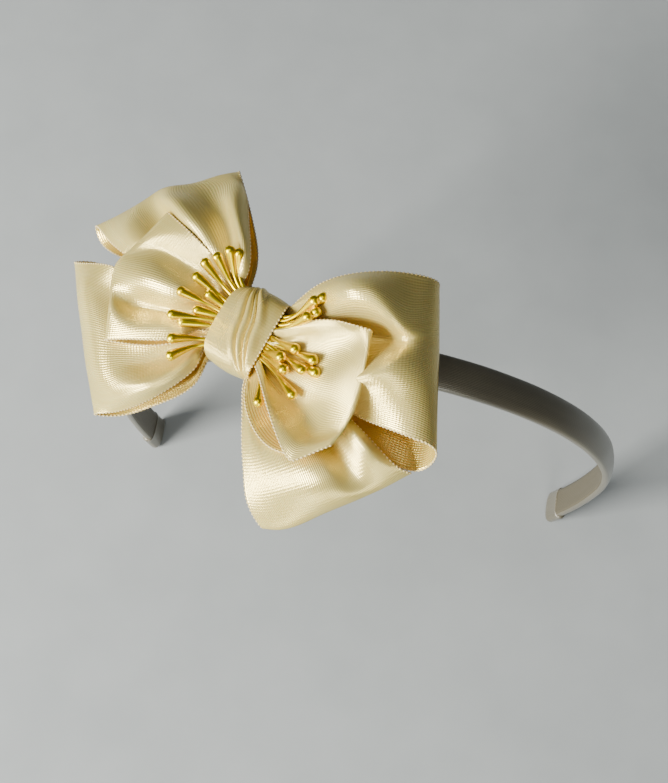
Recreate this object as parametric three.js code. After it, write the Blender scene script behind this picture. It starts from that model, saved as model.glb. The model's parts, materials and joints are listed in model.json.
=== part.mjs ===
// Hair band with a satin ribbon bow, a wrapped centre knot and pearl stamens.
// Millimetres, +Z up. The origin is on the head side of the band at its crown.
// The band lies in the XZ plane with its two legs pointing down.
import * as THREE from 'three';

// Band
const HEAD_RADIUS = 80;
const LEG_LENGTH = 55;
const LEG_BEND_RADIUS = 260;
const BAND_WIDTH = 10;
const BAND_THICKNESS = 3;
const GAP = 0.3;
const SATIN = 0.5;
const TIP_LENGTH = 9;
const LINING_THICKNESS = 0.45;
const LINING_INSET = 1;
const CORE_SIDE_GAP = 0.7;
const CORE_TOP_GAP = 0.5;
const CORE_CHAMFER = 0.6;
const CORE_CHAMFER_DEPTH = 0.3;
const DOME_STEPS = 8;
const TIP_STEPS = 4;
const BAND_STEPS = 72;

// Bow, placed on the band
const BOW_ANGLE = THREE.MathUtils.degToRad(-20.5);
const BOW_TURN = THREE.MathUtils.degToRad(-32);
const BOW_OFFSET_Y = -3.5;
const RIBBON_THICKNESS = 0.4;
const KNOT_CENTRE = [-3.5, 0];
const KNOT_TURN = THREE.MathUtils.degToRad(12);
const KNOT_LENGTH = 17;
const KNOT_BOTTOM = 2.4;
const KNOT_TOP = 15.8;
const KNOT_HALF_WIDTH = 11;
const KNOT_WALL = 0.6;
const KNOT_STEPS = 48;
const RING_STEPS = 64;
const LOOP_STEPS_ACROSS = 6;
const PETAL_STEPS_ACROSS = 8;

// Thread round the middle of the rings
const THREAD_RADIUS = 0.3;
const THREAD_HALF_WIDTH = 8.2;
const THREAD_BOTTOM = 3.75;
const THREAD_TOP = 11.15;
const THREAD_STEPS = 40;
const THREAD_SIDES = 6;

// Felt pad and glue under the knot
const PAD_HALF_LENGTH = 12;
const PAD_HALF_WIDTH = 8;
const PAD_THICKNESS = 1;
const PAD_STEPS = 24;
const GLUE_STEPS = 20;

// Stamens
const STEM_RADIUS = 0.45;
const PEARL_RADIUS = 1.4;
const PEARL_LENGTH = 6;
const PEARL_TIP_RADIUS = 0.15;
const STEM_HEIGHT = 12.4;
const STEM_PITCH = 1.3;
const STEM_STEPS = 36;
const STEM_SIDES = 7;

const MATERIALS = {
  coreWhite: [0xe8e6df, 0.5],
  oliveSatin: [0x6b644a, 0.35],
  oliveLining: [0x5a553f, 0.8],
  feltCream: [0xe6dcc0, 0.95],
  glueClear: [0xe9e4d0, 0.3],
  creamSatin: [0xeddfb4, 0.35],
  threadCream: [0xe4d7b0, 0.8],
  pearlGold: [0xd9b514, 0.3],
};

const group = new THREE.Group();

function addPiece(name, geometry, look) {
  const [color, roughness] = MATERIALS[look];
  const material = new THREE.MeshStandardMaterial({ color, roughness, metalness: 0 });
  const mesh = new THREE.Mesh(geometry, material);
  mesh.name = name;
  group.add(mesh);
}

// A grid of points, rows along and columns around, closed around each row.
// Both ends get a flat fan, unless the rows close on themselves.
function skin(rows, closedAlong) {
  const n = rows[0].length;
  const points = rows.flat();
  const index = [];
  const last = closedAlong ? rows.length : rows.length - 1;
  for (let i = 0; i < last; i += 1) {
    const a = i * n;
    const b = ((i + 1) % rows.length) * n;
    for (let j = 0; j < n; j += 1) {
      const k = (j + 1) % n;
      index.push(a + j, b + j, b + k, a + j, b + k, a + k);
    }
  }
  if (!closedAlong) {
    const end = (rows.length - 1) * n;
    for (const [start, flip] of [[0, false], [end, true]]) {
      const ring = rows[start / n];
      const centre = ring.reduce((s, p) => s.clone().add(p), new THREE.Vector3());
      points.push(centre.divideScalar(n));
      const c = points.length - 1;
      for (let j = 0; j < n; j += 1) {
        const k = (j + 1) % n;
        if (flip) index.push(c, start + k, start + j);
        else index.push(c, start + j, start + k);
      }
    }
  }
  return outward(points, index);
}

// Makes the geometry and turns its faces so that its volume is positive.
function outward(points, index) {
  let volume = 0;
  for (let i = 0; i < index.length; i += 3) {
    const [a, b, c] = [points[index[i]], points[index[i + 1]], points[index[i + 2]]];
    volume += a.dot(new THREE.Vector3().crossVectors(b, c));
  }
  const faces = volume < 0 ? [...index].reverse() : index;
  const geometry = new THREE.BufferGeometry();
  geometry.setAttribute('position',
    new THREE.Float32BufferAttribute(points.flatMap((p) => [p.x, p.y, p.z]), 3));
  geometry.setIndex(faces);
  geometry.computeVertexNormals();
  return geometry;
}

// ---------- band ----------

// A point and the outward direction at a length along the band from its crown.
function bandFrame(length) {
  const side = Math.sign(length) || 1;
  const arcEnd = HEAD_RADIUS * Math.PI / 2;
  const along = Math.abs(length);
  if (along <= arcEnd) {
    const angle = along / HEAD_RADIUS;
    const out = new THREE.Vector3(side * Math.sin(angle), 0, Math.cos(angle));
    const point = out.clone().multiplyScalar(HEAD_RADIUS);
    point.z -= HEAD_RADIUS;
    return { point, out };
  }
  const bend = (along - arcEnd) / LEG_BEND_RADIUS;
  const inset = LEG_BEND_RADIUS * (1 - Math.cos(bend));
  const point = new THREE.Vector3(side * (HEAD_RADIUS - inset), 0,
    -HEAD_RADIUS - LEG_BEND_RADIUS * Math.sin(bend));
  const out = new THREE.Vector3(side * Math.cos(bend), 0, -Math.sin(bend));
  return { point, out };
}

// A profile of [across, outward] points set at a length along the band.
function bandRow(profile, length) {
  const { point, out } = bandFrame(length);
  return profile.map(([across, height]) => {
    const p = point.clone().addScaledVector(out, height);
    p.y += across;
    return p;
  });
}

// The same profile from -end to end along the band.
function bandRows(profile, end) {
  const rows = [];
  for (let i = 0; i <= BAND_STEPS; i += 1) {
    rows.push(bandRow(profile, end * (2 * i / BAND_STEPS - 1)));
  }
  return rows;
}

// The domed top of the band, from one edge to the other.
function dome(halfWidth, edgeHeight, topHeight) {
  const points = [];
  for (let i = 0; i <= DOME_STEPS; i += 1) {
    const a = Math.PI * i / DOME_STEPS;
    points.push([halfWidth * Math.cos(a),
      edgeHeight + (topHeight - edgeHeight) * Math.sin(a)]);
  }
  return points;
}

const BAND_END = HEAD_RADIUS * Math.PI / 2 + LEG_LENGTH;

function bandCore() {
  const half = BAND_WIDTH / 2 - SATIN - CORE_SIDE_GAP;
  const low = SATIN + GAP;
  const high = BAND_THICKNESS - SATIN - CORE_TOP_GAP;
  const shoulder = high - CORE_CHAMFER_DEPTH;
  const flat = half - CORE_CHAMFER;
  const profile = [[half, low], [half, shoulder], [flat, high],
    [-flat, high], [-half, shoulder], [-half, low]];
  return skin(bandRows(profile, BAND_END), false);
}

function bandCover() {
  const half = BAND_WIDTH / 2;
  const edge = BAND_THICKNESS / 2;
  const outer = dome(half, edge, BAND_THICKNESS);
  const inner = dome(half - SATIN, edge, BAND_THICKNESS - SATIN).reverse();
  const profile = [[half, 0], ...outer, [-half, 0],
    [-half + SATIN, 0], ...inner, [half - SATIN, 0]];
  return channelSkin(bandRows(profile, BAND_END));
}

// Like skin, but the ends are filled by triangulating the open C profile.
function channelSkin(rows) {
  const n = rows[0].length;
  const points = rows.flat();
  const index = [];
  for (let i = 0; i < rows.length - 1; i += 1) {
    for (let j = 0; j < n; j += 1) {
      const k = (j + 1) % n;
      const a = i * n;
      const b = a + n;
      index.push(a + j, b + j, b + k, a + j, b + k, a + k);
    }
  }
  const end = (rows.length - 1) * n;
  for (let j = 0; j < n / 2 - 1; j += 1) {
    const k = n - 1 - j;
    index.push(j, j + 1, k, j + 1, k - 1, k);
    index.push(end + j, end + k, end + j + 1, end + j + 1, end + k, end + k - 1);
  }
  return outward(points, index);
}

function bandLining() {
  const half = BAND_WIDTH / 2 - SATIN - GAP;
  const profile = [[half, 0], [half, LINING_THICKNESS], [-half, LINING_THICKNESS], [-half, 0]];
  return skin(bandRows(profile, BAND_END - LINING_INSET), false);
}

// A sleeve that closes one end of the band, with a flat end face.
function bandTip(side) {
  const outerHalf = BAND_WIDTH / 2 + GAP + SATIN;
  const innerHalf = BAND_WIDTH / 2 + GAP;
  const box = (half, low, high) => [[half, low], [half, high], [-half, high], [-half, low]];
  const outer = box(outerHalf, -GAP - SATIN, BAND_THICKNESS + GAP + SATIN);
  const inner = box(innerHalf, -GAP, BAND_THICKNESS + GAP);
  const closed = BAND_END + GAP + SATIN;
  const open = BAND_END - TIP_LENGTH;
  const rows = [];
  for (let i = 0; i <= TIP_STEPS; i += 1) {
    rows.push(bandRow(outer, side * (closed + (open - closed) * i / TIP_STEPS)));
  }
  for (let i = 0; i <= TIP_STEPS; i += 1) {
    rows.push(bandRow(inner, side * (open + (TIP_LENGTH + GAP) * i / TIP_STEPS)));
  }
  return skin(rows, false);
}

// ---------- bow ----------

const bowNormal = new THREE.Vector3(Math.sin(BOW_ANGLE), 0, Math.cos(BOW_ANGLE));
const bandTangent = new THREE.Vector3(Math.cos(BOW_ANGLE), 0, -Math.sin(BOW_ANGLE));
const bowAlong = bandTangent.clone().multiplyScalar(Math.cos(BOW_TURN));
bowAlong.y += Math.sin(BOW_TURN);
const bowAcross = new THREE.Vector3().crossVectors(bowNormal, bowAlong);
const bowOrigin = bowNormal.clone().multiplyScalar(HEAD_RADIUS + BAND_THICKNESS);
bowOrigin.z -= HEAD_RADIUS;
bowOrigin.y += BOW_OFFSET_Y;

// Bow coordinates: u along the bow, v across it, w up from the band's outer face.
function onBow(u, v, w) {
  return bowOrigin.clone()
    .addScaledVector(bowAlong, u)
    .addScaledVector(bowAcross, v)
    .addScaledVector(bowNormal, w);
}

// Each ring is one ribbon in a closed loop. A row is one line across the ribbon,
// from its first selvedge to its second. The rows go out along the top layer,
// round the far fold and back along the bottom layer, once on each side.
const LOWER_RING = [
  [[-5.5, 3.5, 5.6], [-3.5, 0, 5.6], [-1.5, -3.5, 5.6]],
  [[4.5, 8.2, 6.4], [5.5, 4.2, 6.2], [6.5, 0.5, 5.8]],
  [[7, 18, 11], [14, 10, 10], [17, 1.2, 6.5]],
  [[19, 33.5, 14], [31, 19, 14], [37, 3, 8]],
  [[27, 40, 11], [42, 24, 11.5], [54, 6.5, 10]],
  [[30, 42, 6], [45.5, 25, 6], [59.5, 7, 6]],
  [[27, 40, 1.5], [42, 23, 1], [54.5, 1.5, 1.5]],
  [[17, 33, 0.8], [30, 17, 0.8], [38, 0.8, 1.5]],
  [[6, 16, 2.8], [13, 9, 2.8], [18, 0.6, 3]],
  [[4.5, 8.2, 4.9], [5.5, 4.2, 4.5], [6.5, 0.5, 4.2]],
  [[-5.5, 3.5, 4.4], [-3.5, 0, 4.4], [-1.5, -3.5, 4.4]],
  [[-13.5, -0.5, 4.2], [-12.5, -4.2, 4.5], [-11.5, -8.2, 4.9]],
  [[-25, -1.5, 3], [-20, -9, 2.8], [-10, -16, 2.8]],
  [[-45, -7.5, 1.5], [-34, -19, 0.5], [-17, -30, 0]],
  [[-61, -13.5, 1.5], [-44, -28, 0.5], [-24, -41.5, 0]],
  [[-69, -15.3, 5], [-48, -30.5, 4.5], [-27, -44, 4]],
  [[-60, -13, 9.5], [-45, -28, 11.5], [-23.5, -41.5, 9]],
  [[-45, -7, 8], [-37, -20, 14], [-17, -31, 12]],
  [[-25, -1.5, 6.5], [-22, -10, 10], [-10, -17, 9.5]],
  [[-13.5, -0.5, 5.8], [-12.5, -4.2, 6.2], [-11.5, -8.2, 6.4]],
];
const UPPER_RING = [
  [[-2.3, 3.8, 8], [-3.5, 0, 8], [-4.7, -3.8, 8]],
  [[7, -0.4, 8.2], [7, -2.7, 8.2], [7, -5, 8.4]],
  [[17, -0.8, 9], [15, -9, 10.5], [10, -16.5, 10.5]],
  [[36, -0.8, 9], [32, -13, 14], [22, -28, 12]],
  [[52, -0.8, 7], [45, -15, 10.5], [33, -35, 8]],
  [[57, -0.6, 3.5], [46.5, -18.5, 3], [34.5, -37, 2.5]],
  [[52, -1, 0.8], [44, -17, -0.5], [33, -35.5, -0.5]],
  [[36, -1, 1.5], [31, -13, 0], [22, -27, 0]],
  [[17, -0.8, 5], [14, -8, 3.5], [10, -15.5, 3]],
  [[7, -0.4, 7], [7, -2.7, 6.9], [7, -5, 6.8]],
  [[-2.3, 3.8, 6.8], [-3.5, 0, 6.8], [-4.7, -3.8, 6.8]],
  [[-11.5, 5.2, 6.8], [-12.5, 2.8, 6.8], [-13.5, 0.4, 7]],
  [[-20, 15, 3], [-23, 8, 3.5], [-25, 0.7, 5]],
  [[-32, 25, 0.5], [-41, 12, 0.5], [-46, 0.6, 1.5]],
  [[-41, 33, 1], [-54, 15, 1], [-64, -2.5, 2]],
  [[-44, 35, 5.5], [-57.5, 16, 5.5], [-70, -3.7, 5.5]],
  [[-41, 33, 10], [-54, 16, 11], [-62, -3, 9]],
  [[-33, 27, 14], [-43, 13, 14], [-46, -0.6, 10]],
  [[-22, 17, 11], [-24, 8, 10.5], [-25, 0.8, 9]],
  [[-11.5, 5.2, 8.4], [-12.5, 2.8, 8.2], [-13.5, 0.4, 8.2]],
];
const PETAL_RING = [
  [[-3.5, 4.5, 10.4], [-3.5, 2.2, 10.4], [-3.5, 0, 10.4], [-3.5, -2.2, 10.4], [-3.5, -4.5, 10.4]],
  [[3.5, 5.4, 10.8], [4, 2.7, 10.7], [4, 0, 10.7], [4, -2.7, 10.7], [3.5, -5.4, 10.8]],
  [[13, 13, 14], [15, 7, 13.6], [17, 1, 13.2], [16, -5, 13.4], [12, -11, 14]],
  [[27, 19.3, 19.5], [32.5, 12, 19], [36.5, 3.5, 18.5], [37.5, -6.5, 18.5], [32, -16.5, 19.5]],
  [[29.5, 20.3, 18.5], [35, 12.4, 18], [39.5, 3.6, 17.5], [41, -7.2, 17.5], [35, -18, 18.5]],
  [[27, 19.3, 17.5], [32.5, 12, 17], [36.5, 3.5, 16.5], [37.5, -6.5, 16.5], [32, -16.5, 17.5]],
  [[13, 13, 12.6], [15, 7, 12.2], [17, 1, 11.8], [16, -5, 12], [12, -11, 12.6]],
  [[3.5, 5.4, 9.5], [4, 2.7, 9.4], [4, 0, 9.4], [4, -2.7, 9.4], [3.5, -5.4, 9.5]],
  [[-3.5, 4.5, 9.2], [-3.5, 2.2, 9.2], [-3.5, 0, 9.2], [-3.5, -2.2, 9.2], [-3.5, -4.5, 9.2]],
  [[-11, 5.4, 9.5], [-11, 2.7, 9.4], [-11, 0, 9.4], [-11, -2.7, 9.4], [-11, -5.4, 9.5]],
  [[-25, 10.5, 12.8], [-24, 4, 12.6], [-23, -2.5, 12.8], [-21, -9, 12.6], [-17, -13.5, 12.8]],
  [[-42, 11.5, 16.5], [-42, 1, 17], [-42.5, -10, 17.5], [-38, -17, 16.5], [-29.5, -25, 16]],
  [[-44.5, 11.8, 17.5], [-45, 1, 18], [-45.5, -10.5, 18.5], [-41, -17.5, 17.5], [-32.5, -26.5, 17]],
  [[-42, 11.5, 18.5], [-42, 1, 19], [-42.5, -10, 19.5], [-38, -17, 18.5], [-29.5, -25, 18]],
  [[-25, 10.5, 14.2], [-24, 4, 14], [-23, -2.5, 14.2], [-21, -9, 14], [-17, -13.5, 14.2]],
  [[-11, 5.4, 10.8], [-11, 2.7, 10.7], [-11, 0, 10.7], [-11, -2.7, 10.7], [-11, -5.4, 10.8]],
];

// A smooth curve through the points, closed or open, cut into equal steps.
function through(points, steps, closed) {
  const curve = new THREE.CatmullRomCurve3(
    points.map((p) => new THREE.Vector3(...p)), closed, 'centripetal');
  const out = [];
  const count = closed ? steps : steps + 1;
  for (let i = 0; i < count; i += 1) out.push(curve.getPoint(i / steps));
  return out;
}

// The ribbon surface through a net of rows, thickened to a closed body.
function ribbonRing(net, stepsAcross) {
  const columns = net[0].map((_, j) => through(net.map((row) => row[j]), RING_STEPS, true));
  const middle = [];
  for (let i = 0; i < RING_STEPS; i += 1) {
    middle.push(through(columns.map((c) => c[i].toArray()), stepsAcross, false));
  }
  const n = middle.length;
  const rows = middle.map((row, i) => {
    const next = middle[(i + 1) % n];
    const before = middle[(i + n - 1) % n];
    const offset = (sign) => row.map((p, j) => {
      const along = next[j].clone().sub(before[j]);
      const across = row[Math.min(j + 1, row.length - 1)].clone()
        .sub(row[Math.max(j - 1, 0)]);
      const normal = along.cross(across).normalize();
      return p.clone().addScaledVector(normal, sign * RIBBON_THICKNESS / 2);
    });
    const ring = [...offset(1), ...offset(-1).reverse()];
    return ring.map((p) => onBow(p.x, p.y, p.z));
  });
  return skin(rows, true);
}

// A point of the knot's oval section at an angle, as across and up.
function knotOval(angle, shrink) {
  const halfHeight = (KNOT_TOP - KNOT_BOTTOM) / 2 - shrink;
  const power = 2 / 3;
  const c = Math.cos(angle);
  const s = Math.sin(angle);
  return [Math.sign(c) * Math.abs(c) ** power * (KNOT_HALF_WIDTH - shrink),
    (KNOT_TOP + KNOT_BOTTOM) / 2 + Math.sign(s) * Math.abs(s) ** power * halfHeight];
}

// Knot coordinates turned into bow coordinates.
function knotToBow(along, across, up) {
  const c = Math.cos(KNOT_TURN);
  const s = Math.sin(KNOT_TURN);
  return new THREE.Vector3(KNOT_CENTRE[0] + along * c - across * s,
    KNOT_CENTRE[1] + along * s + across * c, up);
}

function onKnot(along, across, up) {
  const p = knotToBow(along, across, up);
  return onBow(p.x, p.y, p.z);
}

function knotWrap() {
  const rows = [];
  for (let i = 0; i < KNOT_STEPS; i += 1) {
    const angle = 2 * Math.PI * i / KNOT_STEPS;
    const [outAcross, outUp] = knotOval(angle, 0);
    const [inAcross, inUp] = knotOval(angle, KNOT_WALL);
    const half = KNOT_LENGTH / 2;
    rows.push([onKnot(-half, outAcross, outUp), onKnot(half, outAcross, outUp),
      onKnot(half, inAcross, inUp), onKnot(-half, inAcross, inUp)]);
  }
  return skin(rows, true);
}

// The thread that gathers the rings, a closed loop round their middle.
function gatherThread() {
  const rows = [];
  const middle = (THREAD_BOTTOM + THREAD_TOP) / 2;
  const halfHeight = (THREAD_TOP - THREAD_BOTTOM) / 2;
  const square = (x) => Math.sign(x) * Math.sqrt(Math.abs(x));
  for (let i = 0; i < THREAD_STEPS; i += 1) {
    const a = 2 * Math.PI * i / THREAD_STEPS;
    const section = [];
    for (let j = 0; j < THREAD_SIDES; j += 1) {
      const b = 2 * Math.PI * j / THREAD_SIDES;
      const grow = THREAD_RADIUS * Math.cos(b);
      section.push(onKnot(THREAD_RADIUS * Math.sin(b),
        square(Math.cos(a)) * (THREAD_HALF_WIDTH + grow),
        middle + square(Math.sin(a)) * (halfHeight + grow)));
    }
    rows.push(section);
  }
  return skin(rows, true);
}

// A felt oval that follows the band's outer face.
function basePad() {
  const top = GAP + PAD_THICKNESS;
  const rings = [[0.1, GAP], [0.55, GAP], [1, GAP], [1, top], [0.55, top], [0.1, top]];
  const rows = rings.map(([share, height]) => {
    const ring = [];
    for (let i = 0; i < PAD_STEPS; i += 1) {
      const a = 2 * Math.PI * i / PAD_STEPS;
      const angle = BOW_ANGLE + share * PAD_HALF_LENGTH * Math.cos(a) / HEAD_RADIUS;
      const radius = HEAD_RADIUS + BAND_THICKNESS + height;
      ring.push(new THREE.Vector3(radius * Math.sin(angle),
        BOW_OFFSET_Y / 2 + share * PAD_HALF_WIDTH * Math.sin(a),
        radius * Math.cos(angle) - HEAD_RADIUS));
    }
    return ring;
  });
  return skin(rows, false);
}

// A flattened bead of glue between the felt and the knot.
function glueBead() {
  const ring = (half, width, w) => {
    const points = [];
    for (let i = 0; i < GLUE_STEPS; i += 1) {
      const a = 2 * Math.PI * i / GLUE_STEPS;
      points.push(onKnot(half * Math.cos(a), width * Math.sin(a), w));
    }
    return points;
  };
  return skin([ring(4.5, 6, 1.7), ring(5, 6.5, 1.85), ring(4.5, 6, 2.05)], false);
}

// Where each stamen's two heads end, left then right, as [u, v, w].
const STAMEN_ENDS = [
  [[-17, 17.4, 19], [12.5, 21, 19]],
  [[-20, 14.8, 20.5], [10.5, 17.5, 20]],
  [[-22.5, 11.4, 20.5], [14.5, 16.8, 19]],
  [[-24, 8, 21], [12.5, 13, 20]],
  [[-23.5, 3.4, 20.5], [16, 6.4, 18.5]],
  [[-19.5, 0, 17.4], [22.5, 6.6, 19.5]],
  [[-23.7, -2.5, 21], [19, 3.4, 19.5]],
  [[-18.5, -4.6, 17.2], [24, 0.8, 19]],
  [[-21.5, -8, 20.5], [14, 0, 19]],
  [[-17, -11, 18.5], [17.3, -2.4, 18.5]],
  [[-15.9, -15, 20.5], [22.5, -6, 19.5]],
  [[-13.4, -18, 19], [16, -12, 20]],
];

// A stem through the knot with a long teardrop head at each end.
function stamen(number) {
  const [left, right] = STAMEN_ENDS[number];
  const across = ((STAMEN_ENDS.length - 1) / 2 - number) * STEM_PITCH;
  const knotPoint = (along) => knotToBow(along, across, STEM_HEIGHT);
  const curve = new THREE.CatmullRomCurve3(
    [new THREE.Vector3(...left), knotPoint(-KNOT_LENGTH / 2), knotPoint(0),
      knotPoint(KNOT_LENGTH / 2), new THREE.Vector3(...right)], false, 'centripetal');
  const length = curve.getLength();
  const rows = [];
  for (let i = 0; i <= STEM_STEPS; i += 1) {
    const t = 0.5 - 0.5 * Math.cos(Math.PI * i / STEM_STEPS);
    const toEnd = Math.min(t, 1 - t) * length;
    const p = curve.getPointAt(t);
    const tangent = curve.getTangentAt(t);
    const side = new THREE.Vector3().crossVectors(tangent, new THREE.Vector3(0, 0, 1));
    side.normalize();
    const up = new THREE.Vector3().crossVectors(side, tangent);
    const radius = stamenRadius(toEnd);
    const section = [];
    for (let j = 0; j < STEM_SIDES; j += 1) {
      const a = 2 * Math.PI * j / STEM_SIDES;
      const q = p.clone().addScaledVector(side, radius * Math.cos(a))
        .addScaledVector(up, radius * Math.sin(a));
      section.push(onBow(q.x, q.y, q.z));
    }
    rows.push(section);
  }
  return skin(rows, false);
}

// The radius of a stamen at a distance from its tip: round, then a long cone.
function stamenRadius(fromTip) {
  if (fromTip < PEARL_RADIUS) {
    const round = Math.sqrt(PEARL_RADIUS ** 2 - (PEARL_RADIUS - fromTip) ** 2);
    return Math.max(PEARL_TIP_RADIUS, round);
  }
  const share = Math.min(1, (fromTip - PEARL_RADIUS) / (PEARL_LENGTH - PEARL_RADIUS));
  const ease = 1 - (1 - share) ** 1.6 * (1 + 1.1 * share);
  return PEARL_RADIUS + (STEM_RADIUS - PEARL_RADIUS) * ease;
}

addPiece('hoop_core', bandCore(), 'coreWhite');
addPiece('hoop_cover', bandCover(), 'oliveSatin');
addPiece('hoop_lining', bandLining(), 'oliveLining');
addPiece('tip_left', bandTip(-1), 'oliveSatin');
addPiece('tip_right', bandTip(1), 'oliveSatin');
addPiece('base_pad', basePad(), 'feltCream');
addPiece('glue_bead', glueBead(), 'glueClear');
addPiece('bow_loop_lower', ribbonRing(LOWER_RING, LOOP_STEPS_ACROSS), 'creamSatin');
addPiece('bow_loop_upper', ribbonRing(UPPER_RING, LOOP_STEPS_ACROSS), 'creamSatin');
addPiece('bow_petals', ribbonRing(PETAL_RING, PETAL_STEPS_ACROSS), 'creamSatin');
addPiece('gather_thread', gatherThread(), 'threadCream');
addPiece('knot_wrap', knotWrap(), 'creamSatin');
for (let i = 0; i < STAMEN_ENDS.length; i += 1) {
  addPiece(`stamen_${String(i + 1).padStart(2, '0')}`, stamen(i), 'pearlGold');
}

export default group;
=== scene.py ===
"""A hair band with a satin ribbon bow, a wrapped centre knot and pearl stamens.

Lengths are in millimetres until a mesh is made, and then in metres. The lamps' places and the
materials' bump distances are in metres too, apart from named ones.
The band lies in the XZ plane, with the head side of its crown at the origin. Bow coordinates are
u along the bow, v across it and w up from the band.
"""

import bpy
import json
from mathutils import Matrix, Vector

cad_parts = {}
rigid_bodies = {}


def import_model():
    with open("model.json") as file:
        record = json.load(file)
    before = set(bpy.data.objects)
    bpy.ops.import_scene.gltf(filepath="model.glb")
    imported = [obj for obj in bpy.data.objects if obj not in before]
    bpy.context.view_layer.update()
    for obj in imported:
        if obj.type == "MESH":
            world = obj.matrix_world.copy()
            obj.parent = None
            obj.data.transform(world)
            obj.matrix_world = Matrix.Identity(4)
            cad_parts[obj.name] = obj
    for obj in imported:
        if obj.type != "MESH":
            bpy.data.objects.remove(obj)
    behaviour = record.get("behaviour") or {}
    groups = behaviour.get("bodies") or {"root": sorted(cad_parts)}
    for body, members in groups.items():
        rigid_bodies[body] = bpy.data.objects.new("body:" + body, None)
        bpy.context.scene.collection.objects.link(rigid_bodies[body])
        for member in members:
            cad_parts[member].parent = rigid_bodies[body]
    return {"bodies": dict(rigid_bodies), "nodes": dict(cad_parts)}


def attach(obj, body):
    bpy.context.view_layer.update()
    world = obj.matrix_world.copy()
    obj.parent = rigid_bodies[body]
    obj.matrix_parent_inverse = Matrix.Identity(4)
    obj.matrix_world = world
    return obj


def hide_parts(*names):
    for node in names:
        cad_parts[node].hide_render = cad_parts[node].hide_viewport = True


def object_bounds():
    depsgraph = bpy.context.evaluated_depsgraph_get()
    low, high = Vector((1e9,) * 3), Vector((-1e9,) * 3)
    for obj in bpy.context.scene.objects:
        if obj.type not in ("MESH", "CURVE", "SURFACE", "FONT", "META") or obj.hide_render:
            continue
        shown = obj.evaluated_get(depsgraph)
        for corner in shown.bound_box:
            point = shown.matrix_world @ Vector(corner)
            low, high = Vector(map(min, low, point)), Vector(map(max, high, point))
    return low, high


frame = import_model()
CAD_BOX = [list(corner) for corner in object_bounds()]

import json
import math

import bmesh
import bpy
import numpy as np
from mathutils import Matrix, Vector

MM = 0.001
BODY = "root" if "root" in frame["bodies"] else sorted(frame["bodies"])[0]

# The band, as in the part's source
HEAD_RADIUS = 80
LEG_LENGTH = 55
LEG_BEND_RADIUS = 260
BAND_WIDTH = 10
BAND_THICKNESS = 3
BAND_END = HEAD_RADIUS * math.pi / 2 + LEG_LENGTH
TIP_LENGTH = 9
LINING_WIDTH = 10

# The bow's place on the band, as in the part's source
BOW_ANGLE = math.radians(-20.5)
BOW_TURN = math.radians(-32)
BOW_OFFSET_Y = -3.5
KNOT_CENTRE = (-3.5, 0.6)
KNOT_TURN = math.radians(12)

# Ribbon
RIBBON_WIDTH = 50
RIBBON_THICKNESS = 0.3
RIBBON_COLUMNS = 97
LOBE_ROWS = 150
OUTWARD_SHARE = 0.55
FINE_STEPS = 400
RIB_SPACING = 0.6
WEFT_SPACING = 0.9
WAVE_PERIOD = math.pi / 10
WEAVE_DEPTH = 0.07
PICOT_SPACING = 1.1
PICOT_RADIUS = 0.3
PICOT_MEAN = 0.68
PICOT_SWELL = 0.42
PICOT_STEPS = 6
PICOT_SIDES = 6
# How far a sheet's back is moved from its face in the uv map, and the value that tells them apart;
# the satin uses it to give the back skin its own colour, which is painted shade on the cream ribbon
BACK_UV = (0, 2)
BACK_FROM = 1.5

# Pleats that run out of the knot: depth, reach, number across the ribbon and phase, and then the
# depth of the fine gathers under the knot, which makes the cloth there as wide as the flat ribbon
LOWER_PLEATS = (1.5, 12, 3.5, 0.1, 1.1)
UPPER_PLEATS = (1.8, 14, 3.5, 0.1, 1.1)
PETAL_PLEATS = (1.2, 8, 3.5, 0.1, 0.87)
PLEAT_START = 9
PLEAT_FADE_POWER = 1.3
GATHERS = 12
GATHER_HALF_LENGTH = 7.2
GATHER_EDGE_POWER = 8
FLAT_EDGE_SHARE = 0.08

# Stamens
STEM_RADIUS = 0.55
PEARL_RADIUS = 1.5
PEARL_LENGTH = 9.0
BUD_TIP_RADIUS_SQUARED = 0.0025
BUD_TAPER_POWER = 1.4
BUD_FULLNESS = 0.5
BUD_STEPS = 22
STEM_STEPS = 50
STAMEN_LINE_STEPS = 60
STAMEN_SIDES = 16

# Camera: it looks at AIM from this far, this high and this far round from the front
AIM = (-10.3, -5.3, -20)
CAMERA_DISTANCE = 364
CAMERA_AZIMUTH = math.radians(4.5)
CAMERA_ELEVATION = math.radians(73.4)
CAMERA_ROLL = math.radians(6.2)
LENS = 57.97
SENSOR_WIDTH = 36
CLIP_START = 10
FLOOR_DROP = 0.5
FLOOR_HALF_SIZE = 12000


# ---------- places ----------

def bow_axes():
    """The bow's origin on the band's outer face, and its three directions."""
    normal = np.array([math.sin(BOW_ANGLE), 0, math.cos(BOW_ANGLE)])
    tangent = np.array([math.cos(BOW_ANGLE), 0, -math.sin(BOW_ANGLE)])
    along = math.cos(BOW_TURN) * tangent + math.sin(BOW_TURN) * np.array([0, 1, 0])
    across = np.cross(normal, along)
    origin = np.array([0, BOW_OFFSET_Y, -HEAD_RADIUS]) + normal * (HEAD_RADIUS + BAND_THICKNESS)
    return origin, np.array([along, across, normal])


BOW_ORIGIN, BOW_AXES = bow_axes()


def on_bow(points):
    """Points in bow coordinates, turned into the frame's millimetres."""
    return BOW_ORIGIN + np.asarray(points, float) @ BOW_AXES


def on_knot(along, across, up):
    """Knot coordinates, turned into bow coordinates."""
    c, s = math.cos(KNOT_TURN), math.sin(KNOT_TURN)
    u = KNOT_CENTRE[0] + along * c - across * s
    v = KNOT_CENTRE[1] + along * s + across * c
    return np.stack(np.broadcast_arrays(u, v, up), -1)


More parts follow.
